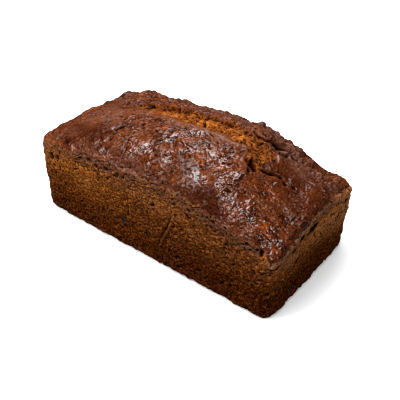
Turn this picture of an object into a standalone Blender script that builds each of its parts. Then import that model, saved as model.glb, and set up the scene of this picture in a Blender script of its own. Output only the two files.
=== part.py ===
"""Date and nut loaf: one solid loaf, baked in a loaf tin, that stands on its flat base.

Run it with blender --background --python part.py, or from Blender's text editor.
Metres, +Z up, with the origin under the loaf's middle. X runs along the loaf, and -Y is the
long side with the high arched rim. The crust split open along the crown as the loaf rose.
"""

import math
from typing import NamedTuple

import bmesh
import bpy
from mathutils import Vector, noise

# The tin's shape: the loaf is widest at its rim and narrows a little towards its base.
RIM_LENGTH = 0.206
RIM_WIDTH = 0.111
END_TAPER = 0.0005
SIDE_TAPER = 0.0030
RIM_CORNER_RADIUS = 0.012
BASE_CORNER_RADIUS = 0.010
BASE_ROUNDING = 0.0035

# Heights of the top crust, read where its surface would meet the tin's walls.
FRONT_LEFT_HEIGHT = 0.066
FRONT_RIGHT_HEIGHT = 0.057
BACK_LEFT_HEIGHT = 0.046
BACK_RIGHT_HEIGHT = 0.053
FRONT_RISE = 0.0185
BACK_RISE = 0.0115
LEFT_END_RISE = 0.003
RIGHT_END_RISE = 0.002
CROWN_RISE = 0.0265

# Where along and across the loaf the crown stands highest, and how sharply it falls away.
FRONT_RISE_SHIFT = 0.10
CROWN_SHIFT = 0.25
CROWN_BLUNTNESS = 0.22
CROWN_SIDE_POWER = 2.5
RIM_RISE_POWER = 2.7

# The crust rolls over the rim in a round edge, tighter at the ends than along the sides.
SIDE_ROLL = 0.0105
END_ROLL = 0.0055

# The split along the crown: a long shallow trough with raised lips. It lies furthest forward at its bend.
SPLIT_START = -0.070
SPLIT_END = 0.068
SPLIT_BEND = 0.020
SPLIT_BEND_SETBACK = 0.003
SPLIT_START_SETBACK = 0.016
SPLIT_END_SETBACK = 0.010
SPLIT_HALF_WIDTH = 0.0110
SPLIT_DEPTH = 0.0034
SPLIT_FLOOR_RISE = 0.0012
SPLIT_WALL = 0.0016
SPLIT_WOBBLE = 0.0012
SPLIT_WOBBLE_LENGTH = 0.023
SPLIT_LEAST_SHARE = 0.15
END_FADE_POWER = 8
FRONT_LIP_RISE = 0.0010
BACK_LIP_RISE = 0.0020
LIP_REACH = 0.007

# Unevenness of the baked surfaces.
WAVE_LENGTH = 0.024
WAVE_HEIGHT = 0.0014
LUMP_LENGTH = 0.0085
LUMP_HEIGHT = 0.0019
WALL_WAVE_LENGTH = 0.019
WALL_WAVE_HEIGHT = 0.0006
NOISE_SEED = Vector((3.7, 11.3, 5.9))

# The mesh: cells on the top, rows up the walls, and lines across each rounded edge.
TOP_CELL = 0.0029
WALL_ROWS = 8
ROLL_LINES = 4
BASE_LINES = 3
BASE_LEVEL = 0.1

CRUST_COLOUR = (0.15, 0.045, 0.016, 1.0)
CRUST_ROUGHNESS = 0.4

HALF_LENGTH = RIM_LENGTH / 2
HALF_WIDTH = RIM_WIDTH / 2


class Swell(NamedTuple):
    """A broad bump (or, with a negative rise, a dip) of the top crust."""

    x: float
    y: float
    reach: float
    width: float
    rise: float
    turn: float = 0.0

    def height(self, x, y):
        """The rise at a place: reach runs along the swell's own direction, turned from X, and width across it."""
        turn = math.radians(self.turn)
        along = (x - self.x) * math.cos(turn) + (y - self.y) * math.sin(turn)
        across = (y - self.y) * math.cos(turn) - (x - self.x) * math.sin(turn)
        return self.rise * math.exp(-((along / self.reach) ** 2) - (across / self.width) ** 2)


SWELLS = (
    Swell(x=0.072, y=-0.050, reach=0.020, width=0.016, rise=0.005),  # full shoulder of the long side
    Swell(x=0.102, y=-0.053, reach=0.010, width=0.012, rise=-0.002),  # low corner of the rim
    Swell(x=0.102, y=0.008, reach=0.014, width=0.026, rise=0.009),  # raised rim of the right end
    Swell(x=0.059, y=0.018, reach=0.009, width=0.0035, rise=-0.0045, turn=38),  # gap under the back lip
    Swell(x=0.052, y=0.025, reach=0.014, width=0.004, rise=0.0016, turn=30),  # back lip over the gap
    Swell(x=0.078, y=0.026, reach=0.016, width=0.0045, rise=0.0018, turn=12),  # fold that runs on to the end
    Swell(x=0.080, y=0.042, reach=0.026, width=0.017, rise=-0.0050),  # low shoulder behind the fold
    Swell(x=0.101, y=0.053, reach=0.008, width=0.008, rise=0.0030),  # lifted far corner of the rim
    Swell(x=-0.079, y=0.045, reach=0.006, width=0.012, rise=0.0024),  # lumps along the crust's far side
    Swell(x=-0.060, y=0.045, reach=0.006, width=0.010, rise=0.0014),
    Swell(x=-0.046, y=0.044, reach=0.005, width=0.010, rise=0.0016),
    Swell(x=0.031, y=0.036, reach=0.0035, width=0.0035, rise=0.0030),
    Swell(x=-0.055, y=0.016, reach=0.028, width=0.014, rise=-0.0026),  # low left end of the crown
    Swell(x=0.000, y=0.022, reach=0.024, width=0.014, rise=-0.0018),  # flat behind the split
    Swell(x=-0.030, y=-0.014, reach=0.012, width=0.008, rise=0.0012),  # lump in front of the split
    Swell(x=0.012, y=-0.026, reach=0.022, width=0.006, rise=0.0014, turn=-8),  # ridge in front of the split
    Swell(x=-0.044, y=-0.030, reach=0.014, width=0.0035, rise=-0.0012, turn=88),  # crease on the left slope
)


def clear_scene():
    for old in list(bpy.data.objects):
        bpy.data.objects.remove(old, do_unlink=True)


def shifted(position, peak):
    """Moves the middle of the range -1 to 1 to the peak, and leaves its two ends where they are."""
    return (position - peak) / (1 - peak * position)


def crown_fall(position):
    """1 at the middle and 0 at the ends, blunt on top and nearly straight down both slopes."""
    blunt = CROWN_BLUNTNESS
    return 1 - (math.hypot(position, blunt) - blunt) / (math.hypot(1, blunt) - blunt)


def blend(low, high, share):
    return low + (high - low) * share


def dome_height(x, y):
    """The crust's height without its lumps, split and rolled edge."""
    u = x / HALF_LENGTH
    v = y / HALF_WIDTH
    along = (u + 1) / 2
    across = (v + 1) / 2
    front = blend(FRONT_LEFT_HEIGHT, FRONT_RIGHT_HEIGHT, along)
    back = blend(BACK_LEFT_HEIGHT, BACK_RIGHT_HEIGHT, along)
    side_rise = blend(FRONT_RISE, BACK_RISE, across) * (1 - abs(shifted(u, FRONT_RISE_SHIFT)) ** RIM_RISE_POWER)
    end_rise = blend(LEFT_END_RISE, RIGHT_END_RISE, along) * (1 - v * v)
    crown = CROWN_RISE * crown_fall(shifted(u, CROWN_SHIFT)) * (1 - abs(v) ** CROWN_SIDE_POWER)
    return blend(front, back, across) + side_rise + end_rise + crown


def swell_height(x, y):
    return sum(swell.height(x, y) for swell in SWELLS)


def split_openness(x):
    """0 beyond the split's ends, and 1 where it is wide open."""
    run = (x - SPLIT_START) / (SPLIT_END - SPLIT_START)
    return math.sqrt(math.sin(math.pi * run)) if 0 < run < 1 else 0.0


def split_centre(x):
    """How far back the split's middle line lies."""
    end, setback = (SPLIT_START, SPLIT_START_SETBACK) if x < SPLIT_BEND else (SPLIT_END, SPLIT_END_SETBACK)
    away = min(1.0, (x - SPLIT_BEND) / (end - SPLIT_BEND))
    wobble = SPLIT_WOBBLE * math.sin(math.tau * x / SPLIT_WOBBLE_LENGTH)
    return blend(SPLIT_BEND_SETBACK, setback, away * away) + wobble * split_openness(x)


def beside_split(x, grid_y):
    """Moves a place on the grid so that two of the grid's lines run along the split's lips."""
    half_width = SPLIT_HALF_WIDTH * max(SPLIT_LEAST_SHARE, split_openness(x))
    if abs(grid_y) < SPLIT_HALF_WIDTH:
        y = grid_y * half_width / SPLIT_HALF_WIDTH
    else:
        share = (abs(grid_y) - SPLIT_HALF_WIDTH) / (HALF_WIDTH - SPLIT_HALF_WIDTH)
        y = math.copysign(blend(half_width, HALF_WIDTH, share), grid_y)
    y += split_centre(x) * (1 - (y / HALF_WIDTH) ** 2)
    return blend(y, grid_y, (x / HALF_LENGTH) ** END_FADE_POWER)


def split_height(x, grid_y):
    """The trough of the split, below 0, and the lips beside it, above 0."""
    openness = split_openness(x)
    inside = SPLIT_HALF_WIDTH - abs(grid_y)
    if inside > 0:
        steepness = min(1.0, inside / SPLIT_WALL)
        floor_rise = SPLIT_FLOOR_RISE * (inside / SPLIT_HALF_WIDTH) ** 2
        lip_rise = BACK_LIP_RISE if grid_y > 0 else FRONT_LIP_RISE
        return openness * blend(lip_rise, floor_rise - SPLIT_DEPTH, steepness)
    lip_rise = BACK_LIP_RISE if grid_y > 0 else FRONT_LIP_RISE
    return openness * lip_rise * math.exp(-((inside / LIP_REACH) ** 2))


def uneven(point, length, height):
    return height * noise.noise(point / length + NOISE_SEED)


def crust_height(x, y):
    """The height of the top crust over a place on the base, without the split."""
    point = Vector((x, y, 0.0))
    waves = uneven(point, WAVE_LENGTH, WAVE_HEIGHT) + uneven(point, LUMP_LENGTH, LUMP_HEIGHT)
    return dome_height(x, y) + swell_height(x, y) + waves


def corner_offset(x, y, half_length, half_width, radius):
    """Where a place in a rectangle's corner square goes when the corner is rounded, from its centre."""
    a = (abs(x) - (half_length - radius)) / radius
    b = (abs(y) - (half_width - radius)) / radius
    if a <= 0 or b <= 0:
        return None
    return Vector((a * math.sqrt(1 - b * b / 2), b * math.sqrt(1 - a * a / 2))) * radius


def rounded(x, y, half_length, half_width, radius):
    """A place in a rectangle, moved as its corners are rounded."""
    offset = corner_offset(x, y, half_length, half_width, radius)
    if offset is None:
        return x, y
    return (
        math.copysign(half_length - radius + offset.x, x),
        math.copysign(half_width - radius + offset.y, y),
    )


def rim_inset(x, y):
    """How far inside the rim a place lies, and how much the nearest stretch of rim faces along X."""
    to_end = HALF_LENGTH - abs(x)
    to_side = HALF_WIDTH - abs(y)
    corner = Vector((RIM_CORNER_RADIUS - to_end, RIM_CORNER_RADIUS - to_side))
    if corner.x > 0 and corner.y > 0:
        return RIM_CORNER_RADIUS - corner.length, corner.x**2 / corner.length_squared
    return (to_end, 1.0) if to_end < to_side else (to_side, 0.0)


def roll_radius(end_share):
    return blend(SIDE_ROLL, END_ROLL, end_share)


def crust_point(x, grid_y):
    """A point of the top crust, with the round edge where it meets the walls."""
    x, y = rounded(x, beside_split(x, grid_y), HALF_LENGTH, HALF_WIDTH, RIM_CORNER_RADIUS)
    inset, end_share = rim_inset(x, y)
    roll = roll_radius(end_share)
    short = max(0.0, roll - max(0.0, inset))
    drop = roll - math.sqrt(max(0.0, roll * roll - short * short))
    return Vector((x, y, crust_height(x, y) + split_height(x, grid_y) - drop))


def wall_point(x, y, level):
    """A point of a wall: level 0 is the base's edge and level 1 the foot of the rolled rim."""
    top = crust_point(x, y).z
    if level < BASE_LEVEL:
        angle = math.pi / 2 * level / BASE_LEVEL
        inset = BASE_ROUNDING * (1 - math.sin(angle))
        z = BASE_ROUNDING * (1 - math.cos(angle))
    else:
        inset = 0.0
        z = blend(BASE_ROUNDING, top, (level - BASE_LEVEL) / (1 - BASE_LEVEL))
    taper = 1 - z / top
    half_length = HALF_LENGTH - END_TAPER * taper - inset
    half_width = HALF_WIDTH - SIDE_TAPER * taper - inset
    radius = blend(RIM_CORNER_RADIUS, BASE_CORNER_RADIUS, taper) - inset
    x, y = rounded(x * half_length / HALF_LENGTH, y * half_width / HALF_WIDTH, half_length, half_width, radius)
    return Vector((x, y, z))


def even_lines(low, high):
    """Evenly spaced places from low to high, both left out."""
    cells = round((high - low) / TOP_CELL)
    return [blend(low, high, k / cells) for k in range(1, cells)]


def roll_lines(half, roll):
    """Places across one rolled edge, closest together where it is steepest."""
    return [half - roll * (1 - math.cos(math.pi / 2 * k / ROLL_LINES)) for k in range(1, ROLL_LINES + 1)]


def lines_along():
    edge = roll_lines(HALF_LENGTH, END_ROLL)
    return edge + [-place for place in edge] + even_lines(-edge[-1], edge[-1])


def lines_across():
    floor = SPLIT_HALF_WIDTH - SPLIT_WALL
    edge = roll_lines(HALF_WIDTH, SIDE_ROLL)
    beside = edge + even_lines(SPLIT_HALF_WIDTH, edge[-1]) + [SPLIT_HALF_WIDTH, floor]
    return beside + [-place for place in beside] + even_lines(-floor, floor)


def wall_levels():
    base = [BASE_LEVEL * k / BASE_LINES for k in range(1, BASE_LINES + 1)]
    return base + [blend(BASE_LEVEL, 1, k / WALL_ROWS) for k in range(1, WALL_ROWS)]


def cut_across(bm, places, axis):
    for place in places:
        normal = Vector((0.0, 0.0, 0.0))
        normal[axis] = 1.0
        bmesh.ops.bisect_plane(bm, geom=bm.verts[:] + bm.edges[:] + bm.faces[:], plane_co=normal * place, plane_no=normal)


def gridded_block():
    """A block of the rim's length and width and height 1, its faces cut into the loaf's grid."""
    bm = bmesh.new()
    bmesh.ops.create_cube(bm, size=1)
    bmesh.ops.translate(bm, verts=bm.verts, vec=(0, 0, 0.5))
    bmesh.ops.scale(bm, verts=bm.verts, vec=(RIM_LENGTH, RIM_WIDTH, 1))
    cut_across(bm, lines_along(), 0)
    cut_across(bm, lines_across(), 1)
    cut_across(bm, wall_levels(), 2)
    return bm


def swell_walls(bm):
    """Gives the walls their slight waves, which die out at the base's edge."""
    bm.normal_update()
    moves = []
    for vert in bm.verts:
        upright = 1 - abs(vert.normal.z)
        if upright > 0.5 and vert.co.z > BASE_ROUNDING / 2:
            moves.append((vert, vert.normal * uneven(vert.co, WALL_WAVE_LENGTH, WALL_WAVE_HEIGHT) * upright))
    for vert, move in moves:
        vert.co += move


def centre_over_origin(bm):
    for axis in (0, 1):
        low = min(vert.co[axis] for vert in bm.verts)
        high = max(vert.co[axis] for vert in bm.verts)
        for vert in bm.verts:
            vert.co[axis] -= (low + high) / 2


def loaf_mesh():
    bm = gridded_block()
    for vert in bm.verts:
        x, y, level = vert.co
        vert.co = crust_point(x, y) if level > 1 - 1e-6 else wall_point(x, y, level)
    base = [face for face in bm.faces if all(vert.co.z < 1e-9 for vert in face.verts)]
    bmesh.ops.dissolve_faces(bm, faces=base, use_verts=True)
    swell_walls(bm)
    centre_over_origin(bm)
    bmesh.ops.recalc_face_normals(bm, faces=bm.faces)
    mesh = bpy.data.meshes.new("loaf")
    bm.to_mesh(mesh)
    bm.free()
    return mesh


def crust_material():
    material = bpy.data.materials.new("baked_crust")
    material.use_nodes = True
    shader = material.node_tree.nodes["Principled BSDF"]
    shader.inputs["Base Color"].default_value = CRUST_COLOUR
    shader.inputs["Roughness"].default_value = CRUST_ROUGHNESS
    shader.inputs["Metallic"].default_value = 0.0
    material.diffuse_color = CRUST_COLOUR
    return material


def main():
    clear_scene()
    bpy.context.scene.unit_settings.system = "METRIC"
    collection = bpy.data.collections.new("date_and_nut_loaf")
    bpy.context.scene.collection.children.link(collection)
    loaf = bpy.data.objects.new("loaf", loaf_mesh())
    loaf.data.materials.append(crust_material())
    collection.objects.link(loaf)


main()
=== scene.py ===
"""Looks of a date and nut loaf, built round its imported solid.

The solid's own form is made fine, carved with the relief that baking leaves, and parted along
natural lines: the glazed crust in front of the split and behind it, the torn crumb inside the
split, the four sides that stood against the tin, and the base. Carving works in millimetres.
"""

import logging
import math
from collections.abc import Sequence
from dataclasses import dataclass, field
from enum import Enum

import bpy
import numpy as np
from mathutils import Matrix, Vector, noise


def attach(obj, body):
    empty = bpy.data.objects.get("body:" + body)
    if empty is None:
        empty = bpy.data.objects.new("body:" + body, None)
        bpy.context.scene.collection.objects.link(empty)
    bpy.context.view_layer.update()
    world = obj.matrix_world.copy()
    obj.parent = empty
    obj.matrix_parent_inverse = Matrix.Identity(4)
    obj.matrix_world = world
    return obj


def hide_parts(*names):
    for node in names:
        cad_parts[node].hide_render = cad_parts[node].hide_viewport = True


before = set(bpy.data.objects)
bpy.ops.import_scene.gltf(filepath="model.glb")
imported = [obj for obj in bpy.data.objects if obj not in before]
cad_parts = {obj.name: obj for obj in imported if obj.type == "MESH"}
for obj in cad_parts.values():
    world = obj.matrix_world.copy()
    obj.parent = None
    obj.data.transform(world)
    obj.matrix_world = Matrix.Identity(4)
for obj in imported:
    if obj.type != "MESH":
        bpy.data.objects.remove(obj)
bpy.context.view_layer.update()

Array = np.ndarray
Size = float | Sequence[float]
Place = tuple[float, float]
Point = tuple[float, float, float]
Colour = tuple[float, float, float]
Socket = bpy.types.NodeSocket

LOG = logging.getLogger("loaf")
MM = 0.001
BODY = "root"
NODE = "loaf"

HALF_LENGTH = 103.0
HALF_WIDTH = 55.5


class Zone(Enum):
    """The parts of the loaf's surface that become pieces of their own."""

    CRUST_FRONT = "crust_front"
    CRUST_BACK = "crust_back"
    TORN_CRUMB = "torn_crumb"
    SIDE_FRONT = "side_front"
    SIDE_BACK = "side_back"
    END_LEFT = "end_left"
    END_RIGHT = "end_right"
    BASE = "base"


def ease(value: Array, low: float, high: float) -> Array:
    """Rises smoothly from 0 at low to 1 at high."""
    share = np.clip((value - low) / (high - low), 0.0, 1.0)
    return share * share * (3.0 - 2.0 * share)


def blend(low: Array | float, high: Array | float, share: Array | float) -> Array:
    """Goes from low to high as share goes from 0 to 1."""
    return low + (high - low) * share


def hump(value: Array, middle: float, width: float) -> Array:
    """Gives a round hump of height 1 at the middle."""
    return np.exp(-(((value - middle) / width) ** 2))


@dataclass(frozen=True)
class Stroke:
    """A slit or a ridge along a short path on one face of the loaf.

    Attributes:
        path: The places that it passes, in the face's own two directions, in mm.
        width: Half its width at its middle, in mm.
        height: How far it stands out, in mm, or below 0 how deep it goes.
        thin_end: The share of its width and height that is left at its ends.
    """

    path: Sequence[Place]
    width: float
    height: float
    thin_end: float = 0.35

    def relief(self, across: Array, up: Array) -> Array:
        """Gives the stroke's height at each place.

        Args:
            across: Places along the face's first direction.
            up: Places along its second direction.

        Returns:
            Heights in mm, 0 away from the stroke.
        """
        nearest = np.full(across.shape, np.inf)
        run = np.zeros(across.shape)
        legs = len(self.path) - 1
        for leg in range(legs):
            (x0, y0), (x1, y1) = self.path[leg], self.path[leg + 1]
            dx, dy = x1 - x0, y1 - y0
            share = ((across - x0) * dx + (up - y0) * dy) / (dx**2 + dy**2)
            share = np.clip(share, 0.0, 1.0)
            gap = np.hypot(across - x0 - share * dx, up - y0 - share * dy)
            closer = gap < nearest
            nearest = np.where(closer, gap, nearest)
            run = np.where(closer, (leg + share) / legs, run)
        swell = np.sqrt(np.clip(4.0 * run * (1.0 - run), 0.0, 1.0))
        taper = blend(self.thin_end, 1.0, swell)
        return self.height * taper * np.exp(-((nearest / (self.width * taper)) ** 2))


@dataclass(frozen=True)
class Patch:
    """A soft-edged oval on one face of the loaf, in mm.

    Attributes:
        at: Its middle, in the face's own two directions.
        reach: Its half lengths along and across its own direction.
        strength: Its value at the middle.
        turn: Its own direction, in degrees from the face's first direction.
    """

    at: Place
    reach: Place
    strength: float = 1.0
    turn: float = 0.0

    def share(self, across: Array, up: Array) -> Array:
        """Gives the patch's value at each place."""
        turn = math.radians(self.turn)
        dx, dy = across - self.at[0], up - self.at[1]
        along = (dx * math.cos(turn) + dy * math.sin(turn)) / self.reach[0]
        beside = (dy * math.cos(turn) - dx * math.sin(turn)) / self.reach[1]
        return self.strength * np.exp(-(along**2) - beside**2)


def strokes(*rows: tuple) -> tuple[Stroke, ...]:
    """Makes strokes from rows of half width, height and the places passed."""
    return tuple(Stroke(path, width, height) for width, height, *path in rows)


def patches(*rows: tuple[float, ...]) -> tuple[Patch, ...]:
    """Makes patches from rows of a place, two half lengths, a strength and a turn."""
    return tuple(Patch(row[:2], row[2:4], *row[4:]) for row in rows)


def relief_of(lines: Sequence[Stroke], across: Array, up: Array) -> Array:
    """Adds up the relief of several strokes."""
    return sum((line.relief(across, up) for line in lines), np.zeros(across.shape))


def total_of(spots: Sequence[Patch], across: Array, up: Array) -> Array:
    """Adds up several patches."""
    return sum((spot.share(across, up) for spot in spots), np.zeros(across.shape))


def share_of(spots: Sequence[Patch], across: Array, up: Array) -> Array:
    """Adds up several patches, to 1 at most."""
    return np.clip(total_of(spots, across, up), 0.0, 1.0)


@dataclass(frozen=True)
class BareFruit:
    """An oval fruit that lies half sunk in the crust with a raised rim round it, in mm.

    Attributes:
        at: Its middle.
        along: Its own direction.
        reach: Its half length and half width.
        rim: How high the rim stands.
        rim_width: Half the rim's width, as a share of the reach.
    """

    at: Point = (101.0, -13.6, 61.8)
    along: Point = (0.37, 0.92, -0.12)
    reach: Place = (3.9, 2.5)
    rim: float = 0.8
    rim_width: float = 0.2

    def share(self, places: Array) -> Array:
        """Gives 1 within the rim."""
        return ease(1.1 - self._gap(places), -0.1, 0.2)

    def ring(self, places: Array) -> Array:
        """Gives 1 along the rim."""
        return hump(self._gap(places), 1.0, self.rim_width)

    def _gap(self, places: Array) -> Array:
        """Gives how far a place lies from the middle, 1 at the rim."""
        away = places - np.asarray(self.at)
        length = away @ np.asarray(self.along)
        width = np.sqrt(np.maximum((away**2).sum(axis=1) - length**2, 0.0))
        return np.hypot(length / self.reach[0], width / self.reach[1])


@dataclass(frozen=True)
class EdgeLine:
    """How high the crust's edge stands along one side of the loaf, in mm."""

    places: tuple[float, ...]
    heights: tuple[float, ...]

    def at(self, place: Array) -> Array:
        """Gives the edge's height at each place along the side."""
        return np.interp(place, self.places, self.heights)


@dataclass(frozen=True)
class Split:
    """The split along the crown, where the solid has it: a path with a width, in mm."""

    start: float = -70.0
    end: float = 68.0
    bend: float = 20.0
    bend_setback: float = 3.0
    start_setback: float = 16.0
    end_setback: float = 10.0
    half_width: float = 11.0
    wobble: float = 1.2
    wobble_length: float = 23.0
    closing: float = 6.0

    def openness(self, x: Array) -> Array:
        """Gives 0 beyond the split's ends and 1 where it is wide open."""
        run = np.clip((x - self.start) / (self.end - self.start), 0.0, 1.0)
        return np.sqrt(np.sin(np.pi * run))

    def centre(self, x: Array) -> Array:
        """Gives how far back the split's middle line lies."""
        left = x < self.bend
        far_end = np.where(left, self.start, self.end)
        setback = np.where(left, self.start_setback, self.end_setback)
        away = np.clip((x - self.bend) / (far_end - self.bend), 0.0, 1.0)
        wobble = self.wobble * np.sin(math.tau * x / self.wobble_length)
        return blend(self.bend_setback, setback, away * away) + wobble * self.openness(x)

    def inside(self, x: Array, y: Array) -> Array:
        """Gives how far inside the lips a place lies, below 0 outside them."""
        openness = self.openness(x)
        closed = self.closing * ease(-openness, -0.5, 0.0)
        return self.half_width * openness - np.abs(y - self.centre(x)) - closed


class Field:
    """Repeatable noise over a set of places, which are in millimetres."""

    def __init__(self, places: Array) -> None:
        """Keeps the places that every field is read at."""
        self.places = places

    def _spots(self, size: Size, seed: float) -> list[list[float]]:
        """Scales the places to one unit for each feature."""
        return (self.places / np.asarray(size) + seed).tolist()

    def waves(self, size: Size, seed: float) -> Array:
        """Gives smooth noise from about -1 to 1, with features of this size."""
        return np.array([noise.noise(spot) for spot in self._spots(size, seed)])

    def creases(self, size: Size, seed: float, width: float) -> Array:
        """Gives narrow winding lines of 1 on a ground of 0."""
        return hump(self.waves(size, seed), 0.0, width)

    def domes(self, size: Size, seed: float, least: float, sunk: float = 0.4) -> Array:
        """Gives round domes side by side, of heights from least to 1, sunk a little."""
        near, luck = self.cells(size, seed)
        return np.clip(1.0 - (near / 0.65) ** 2, 0.0, 1.0) * blend(least, 1.0, luck) - sunk

    def cells(self, size: Size, seed: float) -> tuple[Array, Array]:
        """Scatters one point in each cell of this size.

        Args:
            size: The cells' size in mm, or their three sizes.
            seed: Shifts the pattern.

        Returns:
            The distance to the nearest point, in cells, and a number from 0 to 1 that is the
            nearest point's own.
        """
        rows = []
        for spot in self._spots(size, seed):
            gaps, points = noise.voronoi(spot)
            x, y, z = points[0]
            luck = math.sin(x * 12.99 + y * 78.23 + z * 37.72) * 43758.55
            rows.append((gaps[0], luck - math.floor(luck)))
        near, luck = np.array(rows).T
        return near, luck


class Skin:
    """The fine surface of the loaf as arrays, one row for each vertex, in millimetres."""

    def __init__(self, piece: bpy.types.Object) -> None:
        """Reads a mesh object's vertices, edges and normals."""
        mesh = piece.data
        self.mesh = mesh
        self.places = self._read(mesh.vertices, "co") / MM
        self.normals = self._read(mesh.vertex_normals, "vector")
        ends = np.empty(len(mesh.edges) * 2, np.int32)
        mesh.edges.foreach_get("vertices", ends)
        self.ends = ends.reshape(-1, 2)
        self.links = np.bincount(self.ends.ravel(), minlength=len(self.places)).astype(float)

    @staticmethod
    def _read(items: bpy.types.bpy_prop_collection, name: str) -> Array:
        """Reads one three-part property of every item."""
        values = np.empty(len(items) * 3, np.float32)
        items.foreach_get(name, values)
        return values.reshape(-1, 3).astype(float)

    def relaxed(self, values: Array, rounds: int) -> Array:
        """Averages each vertex's value with its neighbours', so many times."""
        first, second = self.ends.T
        count = len(values)
        for _ in range(rounds):
            total = np.bincount(first, values[second], count)
            total = total + np.bincount(second, values[first], count)
            values = 0.5 * values + 0.5 * total / self.links
        return values

    def hollowness(self, rounds: int, depth: float) -> Array:
        """Gives how deep each vertex lies in a hollow as wide as the rounds reach.

        Args:
            rounds: How far round each vertex is looked.
            depth: The depth in mm that counts as 1.

        Returns:
            Values from -1 on a peak to 1 in a hollow.
        """
        even = [self.relaxed(self.places[:, axis], rounds) for axis in range(3)]
        sunk = ((np.stack(even, axis=1) - self.places) * self.normals).sum(axis=1)
        return np.clip(sunk / depth, -1.0, 1.0)

    def move(self, distance: Array) -> None:
        """Moves every vertex along its normal, and keeps the base flat on the floor."""
        self.places += self.normals * distance[:, None]
        self.places[:, 2] = np.maximum(self.places[:, 2], 0.0)
        self.mesh.vertices.foreach_set("co", (self.places * MM).astype(np.float32).ravel())
        self.mesh.update()
        self.normals = self._read(self.mesh.vertex_normals, "vector")

    def paint(self, name: str, values: Array) -> None:
        """Stores one number for each vertex under a name that the materials read."""
        layer = self.mesh.attributes.new(name, "FLOAT", "POINT")
        layer.data.foreach_set("value", values.astype(np.float32))


@dataclass
class Surface:
    """What the loaf's surface is at each place of the skin, as shares from 0 to 1.

    Attributes:
        front_edge: The crust's edge along the front, and so on for the other sides.
        split: The split along the crown.
        crust_inset: How far in from the sides all is crust, from the first share to the last.
    """

    front_edge: EdgeLine = EdgeLine(
        (-103, -93, -74, -55, -40, -19, 4, 32, 46, 57, 85, 94, 103),
        (63, 65, 68, 72, 75, 75, 76, 77, 75, 72, 67, 62, 56),
    )
    back_edge: EdgeLine = EdgeLine((-103, -80, -50, 0, 45, 80, 103), (43, 47, 53, 58, 58, 54, 48))
    left_edge: EdgeLine = EdgeLine((-55, -40, -10, 20, 55), (62, 63, 59, 53, 43))
    right_edge: EdgeLine = EdgeLine(
        (-55, -40, -20, -5, 8, 20, 37, 55), (53, 53, 57, 61, 62, 60, 55, 51)
    )
    split: Split = Split()
    crust_inset: Place = (11.0, 13.0)

    def read(self, skin: Skin) -> None:
        """Works out the shares for every vertex of a skin.

        Args:
            skin: The loaf's surface before it is carved.
        """
        x, y, z = skin.places.T
        to_end = HALF_LENGTH - np.abs(x)
        to_side = HALF_WIDTH - np.abs(y)
        self.end = ease(to_side - to_end, -3.0, 3.0)
        side_height = np.where(y < 0, self.front_edge.at(x), self.back_edge.at(x))
        end_height = np.where(x < 0, self.left_edge.at(y), self.right_edge.at(y))
        self.edge_gap = z - blend(side_height, end_height, self.end)
        on_top = ease(np.minimum(to_end, to_side), *self.crust_inset) * ease(z, 10.0, 20.0)
        self.crust = np.maximum(ease(self.edge_gap, -0.8, 0.8), on_top)
        self.side = 1.0 - self.crust
        run_on = (share_of(TORN_PATCHES, x, y) - 0.45) * 2.0 * self.split.half_width
        self.torn_inside = np.maximum(self.split.inside(x, y), run_on)
        ragged = Field(skin.places)
        edge = 2.6 * ragged.waves(8.0, 3.3) + 1.6 * ragged.waves(3.2, 8.8) - 0.8
        self.torn = ease(self.torn_inside + edge, -0.6, 0.6) * self.crust
        self.base = ease(-skin.normals[:, 2], 0.6, 0.9) * ease(-z, -6.0, -1.0)
        self.front = (1.0 - self.end) * (y < 0)
        self.right_end = self.end * (x > 0)

    def zones(self, skin: Skin) -> dict[Zone, Array]:
        """Tells which vertices lie well inside each zone.

        Args:
            skin: The loaf's surface before it is carved.

        Returns:
            For each zone, in the order in which they are parted, True for its vertices.
        """
        x, y, _ = skin.places.T
        top = self.crust > 0.5
        torn = (self.torn_inside > 0.0) & top
        base = self.base > 0.5
        wall = ~top & ~base
        at_end = self.end > 0.5
        front = y < self.split.centre(x)
        return {
            Zone.TORN_CRUMB: top & torn,
            Zone.CRUST_FRONT: top & ~torn & front,
            Zone.CRUST_BACK: top & ~torn & ~front,
            Zone.BASE: base,
            Zone.SIDE_FRONT: wall & ~at_end & (y < 0),
            Zone.SIDE_BACK: wall & ~at_end & (y > 0),
            Zone.END_LEFT: wall & at_end & (x < 0),
            Zone.END_RIGHT: wall & at_end & (x > 0),
        }


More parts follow.
